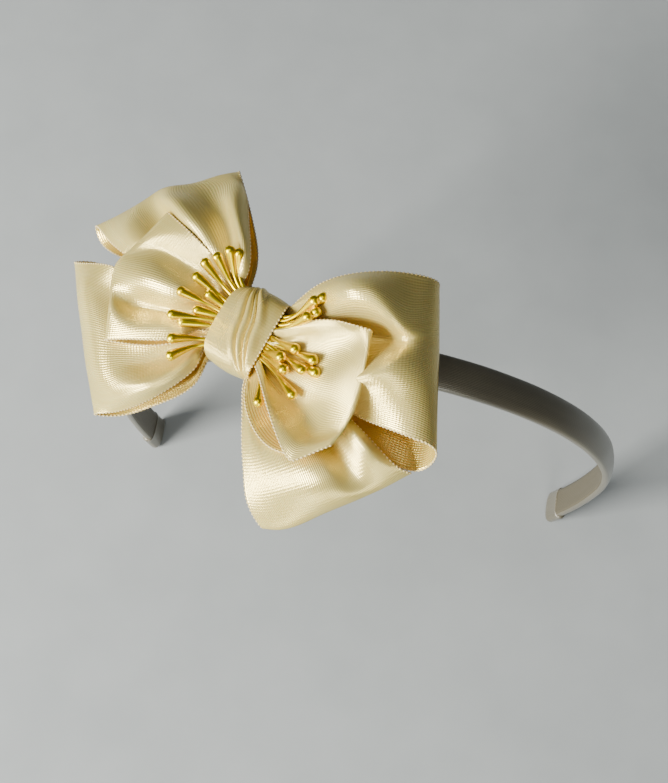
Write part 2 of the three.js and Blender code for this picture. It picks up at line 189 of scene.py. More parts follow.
def band_frame(length):
    """A point on the band's head side at a length from its crown, and the outward direction."""
    side = 1 if length >= 0 else -1
    arc_end = HEAD_RADIUS * math.pi / 2
    if abs(length) <= arc_end:
        angle = abs(length) / HEAD_RADIUS
        out = np.array([side * math.sin(angle), 0, math.cos(angle)])
        return out * HEAD_RADIUS - np.array([0, 0, HEAD_RADIUS]), out
    bend = (abs(length) - arc_end) / LEG_BEND_RADIUS
    inset = LEG_BEND_RADIUS * (1 - math.cos(bend))
    point = np.array([side * (HEAD_RADIUS - inset), 0,
                      -HEAD_RADIUS - LEG_BEND_RADIUS * math.sin(bend)])
    return point, np.array([side * math.cos(bend), 0, -math.sin(bend)])


# ---------- smooth curves ----------

def spline_weights(knots, at):
    """The weights that carry values at the knots to a natural cubic spline at the given places."""
    knots, at = np.asarray(knots, float), np.asarray(at, float)
    count = len(knots)
    steps = np.diff(knots)
    bend, slope = np.zeros((count, count)), np.zeros((count, count))
    bend[0, 0] = bend[-1, -1] = 1
    for k in range(1, count - 1):
        bend[k, k - 1:k + 2] = steps[k - 1] / 6, (steps[k - 1] + steps[k]) / 3, steps[k] / 6
        slope[k, k - 1:k + 2] = 1 / steps[k - 1], -1 / steps[k - 1] - 1 / steps[k], 1 / steps[k]
    curving = np.linalg.solve(bend, slope)
    cell = np.clip(np.searchsorted(knots, at) - 1, 0, count - 2)
    width = steps[cell][:, None]
    a = (knots[cell + 1] - at)[:, None] / width
    b = 1 - a
    eye = np.eye(count)
    straight = a * eye[cell] + b * eye[cell + 1]
    curved = (a ** 3 - a) * curving[cell] + (b ** 3 - b) * curving[cell + 1]
    return straight + curved * width ** 2 / 6


def chords(points, power=0.5):
    """Distances along a line of points, for a spline's knots."""
    steps = np.linalg.norm(np.diff(points, axis=0), axis=1) ** power
    return np.concatenate([[0], np.cumsum(steps)])


def evenly(line, count):
    """count points at even steps along a fine line of points."""
    length = chords(line, 1)
    at = np.linspace(0, length[-1], count)
    return np.stack([np.interp(at, length, line[:, k]) for k in range(3)], 1)


def smooth_line(points, count):
    """count points at even steps along the smooth curve through the points."""
    points = np.asarray(points, float)
    knots = chords(points)
    fine = spline_weights(knots, np.linspace(0, knots[-1], count * 8)) @ points
    return evenly(fine, count)


# ---------- meshes ----------

def grid_faces(rows, columns, closed_rows=False, closed_columns=False):
    """Quads of a grid of points, which may close on itself either way."""
    faces = []
    for i in range(rows if closed_rows else rows - 1):
        below = i * columns
        above = (i + 1) % rows * columns
        for j in range(columns if closed_columns else columns - 1):
            k = (j + 1) % columns
            faces.append((below + j, below + k, above + k, above + j))
    return faces


def make_mesh(name, points, faces, uvs=None):
    """A smooth mesh object from points in the frame's millimetres, with a uv pair for each point."""
    mesh = bpy.data.meshes.new(name)
    mesh.from_pydata((np.asarray(points, float) * MM).tolist(), [], faces)
    if uvs is not None:
        layer = mesh.uv_layers.new(name="UVMap")
        corners = np.zeros(len(mesh.loops), np.int32)
        mesh.loops.foreach_get("vertex_index", corners)
        layer.data.foreach_set("uv", np.asarray(uvs, float)[corners].ravel())
    mesh.polygons.foreach_set("use_smooth", [True] * len(mesh.polygons))
    piece = bpy.data.objects.new(name, mesh)
    bpy.context.scene.collection.objects.link(piece)
    return piece


def grid_normals(grid, closed_rows):
    """Unit normals of a grid of points."""
    if closed_rows:
        down = np.roll(grid, -1, 0) - np.roll(grid, 1, 0)
    else:
        down = np.gradient(grid, axis=0)
    across = np.gradient(grid, axis=1)
    normal = np.cross(down, across)
    size = np.linalg.norm(normal, axis=2, keepdims=True)
    return normal / np.maximum(size, 1e-9)


def thick_sheet(name, grid, thickness, closed_rows=True):
    """A closed body round a grid of points: two skins a thickness apart, with edges.

    Its uv map holds millimetres along the rows and the share of the width across them. The skin on
    the normals' side is the back."""
    rows, columns = grid.shape[:2]
    lift = grid_normals(grid, closed_rows) * thickness / 2
    along = np.linalg.norm(np.diff(grid, axis=0), axis=2).mean(1)
    along = np.concatenate([[0], np.cumsum(along)])
    across = np.linspace(0, 1, columns)
    flat = np.stack(np.meshgrid(along, across, indexing="ij"), 2).reshape(-1, 2)
    count = rows * columns
    points = np.concatenate([(grid + lift).reshape(-1, 3), (grid - lift).reshape(-1, 3)])
    top = grid_faces(rows, columns, closed_rows)
    under = [tuple(count + v for v in reversed(face)) for face in top]
    rim = []
    for i in range(rows if closed_rows else rows - 1):
        a, b = i * columns, (i + 1) % rows * columns
        rim.append((a, b, count + b, count + a))
        a, b = a + columns - 1, b + columns - 1
        rim.append((b, a, count + a, count + b))
    if not closed_rows:
        last = (rows - 1) * columns
        for j in range(columns - 1):
            rim.append((j + 1, j, count + j, count + j + 1))
            rim.append((last + j, last + j + 1, count + last + j + 1, count + last + j))
    piece = make_mesh(name, points, top + under + rim, np.concatenate([flat + BACK_UV, flat]))
    piece.data.update()
    return piece


def tube_points(line, radii, sides):
    """Rings of points round a line, with one radius for each of its points."""
    line = np.asarray(line, float)
    ahead = np.gradient(line, axis=0)
    ahead /= np.linalg.norm(ahead, axis=1, keepdims=True)
    side = np.cross(ahead[0], [0.3, 0.5, 0.8])
    side /= np.linalg.norm(side)
    rings = []
    for point, forward, radius in zip(line, ahead, radii):
        side = side - forward * (side @ forward)
        side /= np.linalg.norm(side)
        up = np.cross(forward, side)
        angles = np.arange(sides) * 2 * math.pi / sides
        ring = np.outer(np.cos(angles), side) + np.outer(np.sin(angles), up)
        rings.append(point + radius * ring)
    return np.array(rings)


def tube_faces(rows, sides, closed, start=0):
    """Faces of a tube's rings, with flat ends where the tube is open."""
    faces = [tuple(start + v for v in face) for face in grid_faces(rows, sides, closed, True)]
    if not closed:
        faces.append(tuple(start + v for v in reversed(range(sides))))
        faces.append(tuple(start + (rows - 1) * sides + v for v in range(sides)))
    return faces


# ---------- the ribbons' shapes ----------
# A lobe is half of a ring of ribbon: it leaves the knot on top, turns at its far fold and comes back
# below. Each rib is a line along the ribbon at a share of its width. It is given from the knot to the
# fold, and "back" holds its way home, which for most ribs lies flat on the band.
#
# These points aren't all chosen by hand. A separate program computed many of them from places picked
# on a photograph and heights chosen by hand, and many were then moved by hand. A redesign from the
# ribbon's own sizes should replace them.

RIGHT_LOWER = {
    "exit": [(0, (0, 9, 7)), (1, (1, 0, 6))],
    "ribs": {
        0.00: [(1.2, 11.8, 9.5), (3.5, 16.5, 13), (7.5, 22.5, 16.5), (14, 29, 18.5),
               (20.5, 35, 17), (26, 39.5, 13.5)],
        0.28: [(2, 8.5, 9.5), (9, 13, 13), (16.5, 18, 17.5), (22.5, 21.8, 20.3), (29, 24.3, 20.3),
               (35.5, 25.8, 17)],
        0.38: [(1.5, 6, 8.5), (8.5, 10, 10), (16.5, 15.5, 11), (24.5, 19.5, 11), (31, 22.3, 12.5),
               (37, 24.8, 15)],
        0.48: [(1.5, 4.5, 9), (10, 6.5, 11.5), (21.5, 10, 13.5), (31.5, 13.5, 15.5),
               (35.5, 18.5, 16.5), (40, 22.5, 15.5)],
        0.74: [(2.5, 1.5, 8), (12, 0.5, 9.5), (24.5, 1.5, 13), (34, 6.5, 15.5), (42, 11.5, 16.5),
               (47.5, 15.5, 13.5)],
        1.00: [(3, 0, 7), (11, -1, 7.5), (22.5, -0.5, 8), (35, 1, 9.5), (44.5, 3, 12),
               (54.5, 6, 12)],
    },
    "fold": [(0, (29, 42, 8)), (1, (59, 7, 7.5))],
    "back": {
        0.00: [(27, 40, 2), (22, 35, 1), (13, 25, 1.2)],
        0.50: [(42, 22, 1.5), (33, 18, 0.6), (18, 11, 1.2)],
        1.00: [(57, 1.5, 2), (50, -2, 1.6), (34, -3, 2.2)],
    },
    "home": [(0, (2, 9.5, 4.2)), (1, (5, 0, 4))],
}
RIGHT_UPPER = {
    "exit": [(0, (0, -7, 8.6)), (1, (1, 0, 9.2))],
    "ribs": {
        0.00: [(3.5, -8, 9.5), (6, -11, 11), (11.5, -16.5, 12), (17, -22.5, 11.5), (23, -29, 9.5),
               (28.5, -34.5, 6)],
        0.30: [(4.5, -6.5, 9.5), (10.5, -10.5, 10.5), (19, -15, 12), (28, -20, 13.5),
               (35, -24, 12), (39.5, -26.5, 8)],
        0.60: [(5.5, -4.5, 9), (13.5, -6, 9.5), (24.5, -8.5, 10), (34.5, -11, 11.5),
               (43, -14, 11.5), (48, -16, 8)],
        0.74: [(6, -2.5, 9), (14.5, -3.5, 9), (25.5, -5, 8.5), (35.5, -7.5, 8.5), (44, -9.5, 8.5),
               (50, -10.5, 6.5)],
        0.88: [(6, -1, 9.5), (16.5, -1, 11), (28.5, -1.5, 13), (38.5, -3, 13.5), (46, -4.5, 12),
               (51.5, -5.5, 7.5)],
        1.00: [(6, 0, 9.5), (17, 0, 10), (27.5, 0, 10.5), (37.5, -0.5, 11), (46.5, -1.5, 9.5),
               (53.5, -2, 6)],
    },
    "fold": [(0, (33, -36.5, 1)), (0.1, (37, -34, 1.5)), (0.33, (43.5, -25, 3)),
             (0.62, (50, -14, 4)), (1, (55.5, -1, 2.5))],
    "back": {
        0.00: [(29, -34, -2), (22, -27, -1.5), (12, -17, 0.5)],
        0.50: [(41, -18.5, -1.5), (31, -14, -0.5), (17, -8, 1.2)],
        1.00: [(51.5, -1.8, 0.2), (40, -1.6, 1), (24, -1.4, 2.2)],
    },
    "home": [(0, (5, -7.5, 5)), (1, (6.5, -1, 5.2))],
}
LEFT_UPPER = {
    "exit": [(0, (-8, 7, 8.6)), (1, (-9, 0.5, 9.2))],
    "ribs": {
        0.00: [(-16, 8, 9.5), (-14.5, 11.5, 12.5), (-17, 17.5, 15), (-23, 23, 15),
               (-30.5, 28.5, 12.5), (-37.5, 32, 9.5)],
        0.18: [(-17.5, 8, 10.5), (-17.5, 12, 15), (-20.5, 17, 17.5), (-26.5, 21.5, 18),
               (-35, 26.5, 15), (-42, 30, 10.5)],
        0.29: [(-19, 8, 10.5), (-20.5, 11.5, 13), (-25, 16, 13.5), (-32, 20, 13.5),
               (-40.5, 22.5, 13), (-47.5, 24, 11)],
        0.42: [(-20.5, 8, 12), (-25.5, 10.5, 16.5), (-31, 12.5, 18.5), (-38, 14, 20),
               (-45.5, 15.5, 18.5), (-52, 17, 14.5)],
        0.54: [(-22, 6.5, 10), (-29, 7, 11.5), (-36, 8.5, 12), (-42, 10, 12.5), (-49, 11.5, 13),
               (-56.5, 13.5, 11.5)],
        0.72: [(-22, 3, 9.5), (-29, 1.5, 10.5), (-37, 1.5, 11.5), (-44, 2.5, 13.5),
               (-51.5, 4, 14.5), (-59.5, 6, 11.5)],
        1.00: [(-21.5, 0, 9.5), (-28.5, -2, 9.5), (-38, -3.5, 10), (-45, -4, 11),
               (-52.5, -4.5, 12), (-62, -4, 10)],
    },
    "fold": [(0, (-44, 35, 6)), (0.14, (-48, 30, 7)), (0.3, (-52, 23.5, 8.5)),
             (0.42, (-55, 19.5, 10.5)), (0.5, (-58, 17, 9.5)), (0.64, (-61, 12, 8)),
             (1, (-70.5, -3.5, 6))],
    "back": {
        0.00: [(-40.5, 32, 2.5), (-31, 25.5, 1.5), (-20, 16, 2.5)],
        0.50: [(-54, 14, 1.5), (-41, 11, 1), (-26, 7.5, 2.5)],
        1.00: [(-67.5, -6, 3), (-56, -5, 3), (-36, -1.5, 2.5)],
    },
    "home": [(0, (-13, 6, 5)), (1, (-15, 0, 5.2))],
}
LEFT_LOWER = {
    "exit": [(0, (-9, -1, 6)), (1, (-7, -9, 7.2))],
    "ribs": {
        0.00: [(-21.5, -1, 8), (-27, -4, 8.5), (-35, -6.5, 9.5), (-43, -8, 11.5),
               (-50.5, -9.5, 13), (-59.5, -13, 10.5)],
        0.25: [(-18.5, -4, 8.5), (-22, -7.5, 9.5), (-28, -10.5, 10.3), (-35, -13, 10.8),
               (-44, -17, 12), (-53, -20, 12.5)],
        0.50: [(-16, -6.5, 8.5), (-17.5, -10.5, 10.5), (-20.5, -15, 12), (-25.5, -19.5, 12.5),
               (-33.5, -24.5, 13), (-41.5, -28, 12.5)],
        0.66: [(-14, -8, 8.5), (-15, -12.5, 10), (-17.5, -17.5, 10.5), (-21.5, -24, 11),
               (-26.5, -29.5, 12.5), (-32.5, -34.5, 11.5)],
        0.84: [(-12.5, -9.5, 9), (-11.5, -14, 12.5), (-11.5, -21, 14.5), (-14.5, -27.5, 15),
               (-19.5, -33, 13.5), (-26, -39, 9)],
        1.00: [(-11.5, -10.5, 9), (-9.5, -14.5, 10.5), (-10, -21, 10.5), (-13.5, -29, 9.5),
               (-18.5, -36, 7.5), (-24.5, -41.5, 5.5)],
    },
    "fold": [(0, (-68, -15.5, 5.5)), (1, (-28.5, -44.5, 4))],
    "back": {
        0.00: [(-66, -12, 1.5), (-53, -9, 1), (-34, -5, 1.5)],
        0.50: [(-43, -27.5, 0.5), (-33, -21.5, 0.3), (-20, -12, 1.2)],
        1.00: [(-25, -41, 0.5), (-18, -32, 0.2), (-11.5, -19, 1.5)],
    },
    "home": [(0, (-14, -1, 4)), (1, (-11.5, -10.5, 4.2))],
}
RIGHT_PETAL = {
    "exit": [(0, (-1, 4.5, 12)), (1, (-1, -4.5, 11.5))],
    "ribs": {
        0.00: [(3, 5, 13), (10.5, 10.5, 17), (18.5, 16, 19), (25, 18.5, 19.5)],
        0.20: [(3.5, 2.5, 13), (13, 8, 17), (21.5, 13, 18.5), (27.5, 15.5, 19)],
        0.40: [(4, 0.5, 12.5), (14, 4, 15.5), (23.5, 6.5, 17), (31, 8, 18.5)],
        0.60: [(4.5, -1.5, 12), (17, -2.5, 14.5), (26.5, -1.5, 15.5), (33.5, 0.5, 17)],
        0.76: [(4, -3.5, 11), (15, -6, 12), (26, -7.5, 13), (34, -8, 14.5)],
        0.88: [(5, -4, 12.5), (17, -9, 16), (29.5, -13, 17.3), (35.5, -12, 17.2)],
        1.00: [(5, -5, 13), (19, -11.3, 17.8), (34.3, -18.2, 18.1), (36.2, -16.4, 17.8)],
    },
    "fold": [(0, (29, 20, 18.5)), (0.25, (34, 11.5, 18)), (0.5, (38, 3.5, 17)),
             (0.7, (39.6, -1.5, 16.8)), (0.86, (40.2, -5, 16.8)), (1, (40.2, -8.5, 16.8))],
    "back": {
        0.00: [(27.5, 19, 17.5), (19, 15.5, 16.5), (10, 9.5, 14)],
        0.50: [(37, 2, 15.6), (25, 1.5, 13.8), (13, 0.5, 12.3)],
        0.80: [(36, -6.5, 14.3), (26, -9, 11.6), (13, -6, 10.6)],
        1.00: [(34, -15.5, 15.6), (22, -19, 14.5), (8, -12, 12)],
    },
    "home": [(0, (2, 4.5, 11)), (1, (3, -5.5, 10.3))],
}
LEFT_PETAL = {
    "exit": [(0, (-6, 5, 12)), (1, (-6, -4.5, 11.5))],
    "ribs": {
        0.00: [(-20.5, 9.5, 13), (-25.5, 10.5, 16.5), (-30.5, 11, 18), (-37.5, 11.5, 18.5)],
        0.20: [(-20, 7.5, 13), (-25, 7.5, 15.5), (-31.5, 6.5, 17), (-38.5, 5.5, 18)],
        0.38: [(-19, 4.5, 12.5), (-26, 3, 15.5), (-34, 1.5, 17.2), (-40, -0.5, 17.8)],
        0.53: [(-16.5, 1.5, 13.5), (-21.5, -2, 18), (-28.5, -5, 20.3), (-37, -8, 20)],
        0.68: [(-16.5, -2, 12.2), (-22.5, -6, 13), (-28.5, -9.5, 13.5), (-37, -13.5, 14)],
        0.85: [(-16, -4.5, 12), (-18.5, -8.5, 14.5), (-24, -12.5, 16), (-31.5, -17.5, 16.5)],
        1.00: [(-14, -7, 12.5), (-15, -11, 15.5), (-19, -16, 16.5), (-27, -21.5, 16.5)],
    },
    "fold": [(0, (-45.5, 12, 17)), (0.2, (-46, 3.5, 17)), (0.38, (-47, -4, 17)),
             (0.52, (-46.7, -9.8, 17)), (0.6, (-44, -13.5, 17)), (0.84, (-38, -20, 17.3)),
             (1, (-34.5, -26.5, 15))],
    "back": {
        0.00: [(-43, 12, 16), (-33, 11.5, 15.5), (-22, 9.5, 13)],
        0.40: [(-45, -2, 15.2), (-34, 1, 14.6), (-22, 3, 12)],
        0.55: [(-43.5, -9, 17), (-30, -5, 17), (-20, -1, 13.5)],
        0.70: [(-41, -15, 14), (-28, -10, 12), (-19, -4, 10.8)],
        1.00: [(-32, -25, 14), (-21, -18, 13.5), (-14.5, -10, 12)],
    },
    "home": [(0, (-12, 7, 11.2)), (1, (-11, -6.5, 10.8))],
}


def mirrored(lobe):
    """The same lobe with its shares counted from the other selvedge."""
    def flip_list(pairs):
        return [(1 - share, point) for share, point in reversed(pairs)]

    def flip_map(ribs):
        return {1 - share: ribs[share] for share in sorted(ribs, reverse=True)}

    return {"exit": flip_list(lobe["exit"]), "ribs": flip_map(lobe["ribs"]),
            "fold": flip_list(lobe["fold"]), "back": flip_map(lobe["back"]),
            "home": flip_list(lobe["home"])}


def across(pairs, shares):
    """Points at some shares of a row that is given as a few (share, point) pairs."""
    knots = [share for share, _ in pairs]
    points = np.array([point for _, point in pairs], float)
    return spline_weights(knots, shares) @ points


def along_ribs(ribs, shares):
    """A line of points for each share, from ribs that are given at a few shares."""
    knots = sorted(ribs)
    lines = np.array([ribs[share] for share in knots], float)
    return np.einsum("sk,kpx->spx", spline_weights(knots, shares), lines)


def lobe_surface(lobe, middle_top, middle_low, columns, rows):
    """The lobe's grid of points, from the knot's middle out over the top and back below."""
    shares = np.linspace(0, 1, columns)
    top = along_ribs(lobe["ribs"], shares)
    back = along_ribs(lobe["back"], shares)
    exits, fold, home = [across(lobe[key], shares)[:, None] for key in ("exit", "fold", "home")]
    start = across(middle_top, shares)[:, None]
    finish = across(middle_low, shares)[:, None]
    control = np.concatenate([start, exits, top, fold, back, home, finish], 1)
    turn = 2 + top.shape[1]
    out_rows = int(rows * OUTWARD_SHARE)
    grid = []
    for line in control:
        knots = chords(line)
        fine_out = spline_weights(knots, np.linspace(0, knots[turn], FINE_STEPS)) @ line
        way_back = np.linspace(knots[turn], knots[-1], FINE_STEPS)
        fine_back = spline_weights(knots, way_back) @ line
        out = evenly(fine_out, out_rows + 1)
        grid.append(np.concatenate([out[:-1], evenly(fine_back, rows - out_rows)]))
    return np.array(grid).transpose(1, 0, 2)


def pleated(grid, amplitude, reach, pleats, phase, gather_depth):
    """The grid with pleats that run out of the knot and fade with distance from it. Under the knot
    finer gathers take their place. All of them lift one way, so stacked layers nest."""
    columns = grid.shape[1]
    shares = np.linspace(0, 1, columns)
    from_knot = grid[:, :, :2] - np.array(KNOT_CENTRE)
    distance = np.linalg.norm(from_knot, axis=2)
    fade = amplitude * np.exp(-(np.maximum(distance - PLEAT_START, 0) / reach) ** PLEAT_FADE_POWER)
    wave = np.sin(2 * math.pi * (pleats * shares + phase))
    along = from_knot @ np.array([math.cos(KNOT_TURN), math.sin(KNOT_TURN)])
    bound = np.exp(-(np.abs(along) / GATHER_HALF_LENGTH) ** GATHER_EDGE_POWER)
    folds = np.sin(2 * math.pi * GATHERS * shares)
    edge = np.minimum(1, np.minimum(shares, 1 - shares) / FLAT_EDGE_SHARE)
    lift = grid_normals(grid, False)
    lift = lift * np.where(lift[:, :, 2:] < 0, -1, 1)
    height = fade * wave * (1 - bound) + gather_depth * bound * folds
    return grid + lift * (height * edge)[:, :, None]


def ring_surface(right, left, middle_top, middle_low, columns, rows, pleats):
    """A whole ring of ribbon: its right lobe and then its left lobe, closed on itself."""
    first = lobe_surface(right, middle_top, middle_low, columns, rows)
    second = lobe_surface(left, middle_top, middle_low, columns, rows)[::-1]
    grid = np.concatenate([first, second[1:-1]])
    return pleated(grid, *pleats)


def selvedge(name, lines, look):
    """Rows of tiny picots along a ribbon's edges: a thread that swells at each picot."""
    points, faces = [], []
    for line in lines:
        length = chords(line, 1)[-1]
        steps = int(length / PICOT_SPACING * PICOT_STEPS)
        fine = evenly(np.concatenate([line, line[:1]]), steps + 1)[:-1]
        beat = np.arange(steps) * PICOT_SPACING / PICOT_STEPS
        swell = PICOT_SWELL * np.cos(2 * math.pi * beat / PICOT_SPACING)
        rings = tube_points(fine, PICOT_RADIUS * (PICOT_MEAN + swell), PICOT_SIDES)
        faces += tube_faces(steps, PICOT_SIDES, True, sum(len(p) for p in points))
        points.append(rings.reshape(-1, 3))
    piece = make_mesh(name, np.concatenate(points), faces)
    finish_piece(piece, look, "cream_satin")
    return piece


# ---------- materials ----------

class Nodes:
    """A short way to build one material's nodes."""

    def __init__(self, name):
        self.material = bpy.data.materials.new(name)
        self.material.use_nodes = True
        self.tree = self.material.node_tree
        self.tree.nodes.clear()
        self.output = self.add("ShaderNodeOutputMaterial")
        self.shader = self.add("ShaderNodeBsdfPrincipled")
        self.join(self.shader, "BSDF", self.output, "Surface")

    def add(self, kind, **settings):
        node = self.tree.nodes.new(kind)
        for key, value in settings.items():
            setattr(node, key, value)
        return node

    def join(self, source, out, target, into):
        self.tree.links.new(source.outputs[out], target.inputs[into])

    def set(self, node, **values):
        for key, value in values.items():
            node.inputs[key.replace("_", " ")].default_value = value
        return node

    def coordinates(self, kind="UV", scale=(1, 1, 1)):
        source = self.add("ShaderNodeTexCoord")
        mapping = self.add("ShaderNodeMapping")
        mapping.inputs["Scale"].default_value = scale
        self.join(source, kind, mapping, "Vector")
        return mapping

    def noise(self, coordinates, scale, detail=3.0, roughness=0.5):
        node = self.add("ShaderNodeTexNoise")
        self.set(node, Scale=scale, Detail=detail, Roughness=roughness)
        self.join(coordinates, "Vector", node, "Vector")
        return node

    def wave(self, coordinates, scale, direction="Y", distortion=0.0):
        node = self.add("ShaderNodeTexWave", wave_type="BANDS", bands_direction=direction)
        self.set(node, Scale=scale, Distortion=distortion)
        self.join(coordinates, "Vector", node, "Vector")
        return node

    def ramp(self, source, out, stops):
        node = self.add("ShaderNodeValToRGB")
        points = node.color_ramp.elements
        while len(points) < len(stops):
            points.new(0.5)
        for point, (place, colour) in zip(points, stops):
            point.position = place
            point.color = (*colour, 1)
        self.join(source, out, node, "Fac")
        return node

    def math(self, operation, first, second):
        node = self.add("ShaderNodeMath", operation=operation)
        for slot, value in enumerate((first, second)):
            if isinstance(value, tuple):
                self.tree.links.new(value[0].outputs[value[1]], node.inputs[slot])
            else:
                node.inputs[slot].default_value = value
        return node

    def bump(self, height, out, strength, distance, under=None):
        node = self.add("ShaderNodeBump")
        self.set(node, Strength=strength, Distance=distance)
        self.join(height, out, node, "Height")
        if under is not None:
            self.join(under, "Normal", node, "Normal")
        return node

    def range(self, source, out, low, high):
        node = self.add("ShaderNodeMapRange")
        node.inputs["To Min"].default_value = low
        node.inputs["To Max"].default_value = high
        self.join(source, out, node, "Value")
        return node


def satin(name, light, dark, roughness=(0.28, 0.38), width=RIBBON_WIDTH, metal=0.0, glow=0.0,
          back=None, coat=0.0):
    """Ribbon satin: fine ribs along the cloth, a directional sheen and faint uneven colour.

    The uv map holds millimetres along the ribbon and the share of its width across it."""
    n = Nodes(name)
    cloth = n.coordinates("UV", (1, width, 1))
    ribs = n.wave(cloth, WAVE_PERIOD / RIB_SPACING, "Y")
    weft = n.wave(cloth, WAVE_PERIOD / WEFT_SPACING, "X")
    streaks = n.noise(n.coordinates("UV", (0.03, width * 0.4, 1)), 1.0, 1)
    clouds = n.noise(n.coordinates("Object", (1, 1, 1)), 60, 3)
    mixed = n.math("ADD", (streaks, "Fac"), (clouds, "Fac"))
    half = n.math("MULTIPLY", (mixed, "Value"), 0.5)
    face = n.ramp(half, "Value", [(0.3, dark), (0.7, light)])
    # The back skin, told apart by its uv, gets the back colour, or the dark tone if none is given. On
    # the cream ribbon this is painted shade: a deeper gold that stands in for the warm, bounced-light
    # shade inside the loops and the knot.
    split = n.add("ShaderNodeSeparateXYZ")
    n.join(n.coordinates("UV"), "Vector", split, "Vector")
    behind = n.math("GREATER_THAN", (split, "Y"), BACK_FROM)
    colour = n.add("ShaderNodeMixRGB")
    n.join(behind, "Value", colour, "Fac")
    n.join(face, "Color", colour, "Color1")
    colour.inputs["Color2"].default_value = (*(back or dark), 1)
    n.join(colour, "Color", n.shader, "Base Color")
    rough = n.range(streaks, "Fac", roughness[0], roughness[1])
    n.join(rough, "Result", n.shader, "Roughness")
    height = n.math("MULTIPLY_ADD", (weft, "Fac"), 0.3)
    n.tree.links.new(ribs.outputs["Fac"], height.inputs[2])
    fine = n.bump(height, "Value", 0.8, WEAVE_DEPTH * MM)
    n.join(fine, "Normal", n.shader, "Normal")
    n.set(n.shader, IOR=1.6, Metallic=metal, Anisotropic=0.5, Anisotropic_Rotation=0.25,
          Specular_IOR_Level=0.6, Subsurface_Weight=glow, Subsurface_Radius=(1.0, 0.55, 0.2),
          Subsurface_Scale=0.0015, Coat_Weight=coat, Coat_Roughness=0.3)
    tangent = n.add("ShaderNodeTangent", direction_type="UV_MAP", uv_map="UVMap")
    n.join(tangent, "Tangent", n.shader, "Tangent")
    return n.material


def thread_satin(name, colour):
    """The selvedge's thread, a little duller than the satin."""
    n = Nodes(name)
    twist = n.noise(n.coordinates("Object"), 900, 2)
    tone = n.ramp(twist, "Fac", [(0.3, tuple(c * 0.8 for c in colour)), (0.7, colour)])
    n.join(tone, "Color", n.shader, "Base Color")
    n.join(n.range(twist, "Fac", 0.4, 0.55), "Result", n.shader, "Roughness")
    n.join(n.bump(twist, "Fac", 0.3, 0.00005), "Normal", n.shader, "Normal")
    n.set(n.shader, Sheen_Weight=0.2)
    return n.material


def pearl_paint():
    """Pearly yellow lacquer on the stamens."""
    n = Nodes("pearl_yellow")
    flakes = n.noise(n.coordinates("Object"), 2500, 2, 0.6)
    clouds = n.noise(n.coordinates("Object"), 280, 3)
    tone = n.ramp(clouds, "Fac", [(0.3, (0.86, 0.60, 0.0)), (0.62, (0.97, 0.74, 0.0))])
    n.join(tone, "Color", n.shader, "Base Color")
    n.join(n.range(flakes, "Fac", 0.28, 0.38), "Result", n.shader, "Roughness")
    n.join(n.bump(flakes, "Fac", 0.12, 0.00004), "Normal", n.shader, "Normal")
    n.set(n.shader, Metallic=1.0, Coat_Weight=0.05, Coat_Roughness=0.1)
    return n.material


def felt(name, light, dark):
    """Felt: soft fibres with a rough, mottled surface."""
    n = Nodes(name)
    fibres = n.noise(n.coordinates("Object"), 1800, 6, 0.7)
    tone = n.ramp(fibres, "Fac", [(0.3, dark), (0.7, light)])
    n.join(tone, "Color", n.shader, "Base Color")
    n.join(n.range(fibres, "Fac", 0.85, 1.0), "Result", n.shader, "Roughness")
    n.join(n.bump(fibres, "Fac", 0.6, 0.0002), "Normal", n.shader, "Normal")
    n.set(n.shader, Sheen_Weight=0.5, Sheen_Roughness=0.6)
    return n.material


def moulded(name, light, dark, rough):
    """Moulded plastic or set glue, with faint flow marks."""
    n = Nodes(name)
    flow = n.noise(n.coordinates("Object", (1, 3, 1)), 220, 4)
    tone = n.ramp(flow, "Fac", [(0.3, dark), (0.7, light)])
    n.join(tone, "Color", n.shader, "Base Color")
    n.join(n.range(flow, "Fac", rough, rough + 0.12), "Result", n.shader, "Roughness")
    n.join(n.bump(flow, "Fac", 0.15, 0.0001), "Normal", n.shader, "Normal")
    return n.material


def spun_thread(name, light, dark):
    """Sewing thread with a visible twist."""
    n = Nodes(name)
    twist = n.wave(n.coordinates("Object"), 900, "DIAGONAL", 1.0)
    tone = n.ramp(twist, "Fac", [(0.2, dark), (0.8, light)])
    n.join(tone, "Color", n.shader, "Base Color")
    n.join(n.range(twist, "Fac", 0.5, 0.7), "Result", n.shader, "Roughness")
    n.join(n.bump(twist, "Fac", 0.5, 0.0001), "Normal", n.shader, "Normal")
    return n.material


# The back colour is painted shade: the deeper gold on the ribbon's inner skin stands in for the warm
# shade inside the loops and the knot.
CREAM = satin("cream_satin", (0.88, 0.715, 0.25), (0.82, 0.635, 0.185), (0.22, 0.30), metal=0.5,
              glow=0.12, back=(0.86, 0.62, 0.14))
CREAM_THREAD = thread_satin("cream_selvedge", (0.80, 0.64, 0.30))
OLIVE = satin("olive_satin", (0.15, 0.13, 0.085), (0.11, 0.095, 0.06), (0.34, 0.44), width=22,
              metal=0.2, coat=1.0)
OLIVE_LINING = satin("olive_lining", (0.11, 0.095, 0.06), (0.085, 0.072, 0.044),
                     roughness=(0.5, 0.65), width=9)
PEARL = pearl_paint()
FELT = felt("cream_felt", (0.80, 0.71, 0.52), (0.66, 0.57, 0.39))
CORE = moulded("core_plastic", (0.80, 0.79, 0.74), (0.72, 0.71, 0.66), 0.4)
GLUE = moulded("clear_glue", (0.78, 0.74, 0.62), (0.68, 0.63, 0.50), 0.25)
THREAD = spun_thread("cream_thread", (0.82, 0.73, 0.52), (0.60, 0.51, 0.34))


def finish_piece(piece, look, slot, *nodes):
    """Gives a piece its material and lets it stand for CAD nodes; its slot is not used."""
    piece.data.materials.clear()
    piece.data.materials.append(look)
    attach(piece, BODY)
    if nodes:
        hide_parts(*nodes)
    return piece


# ---------- the bow ----------

def declare_ring(name, grid, node):
    """One ring of ribbon with its picot edges."""
    world = on_bow(grid)
    ribbon = thick_sheet(name, world, RIBBON_THICKNESS)
    finish_piece(ribbon, CREAM, "cream_satin", node)
    edge = selvedge(name + "_picots", [world[:, 0], world[:, -1]], CREAM_THREAD)


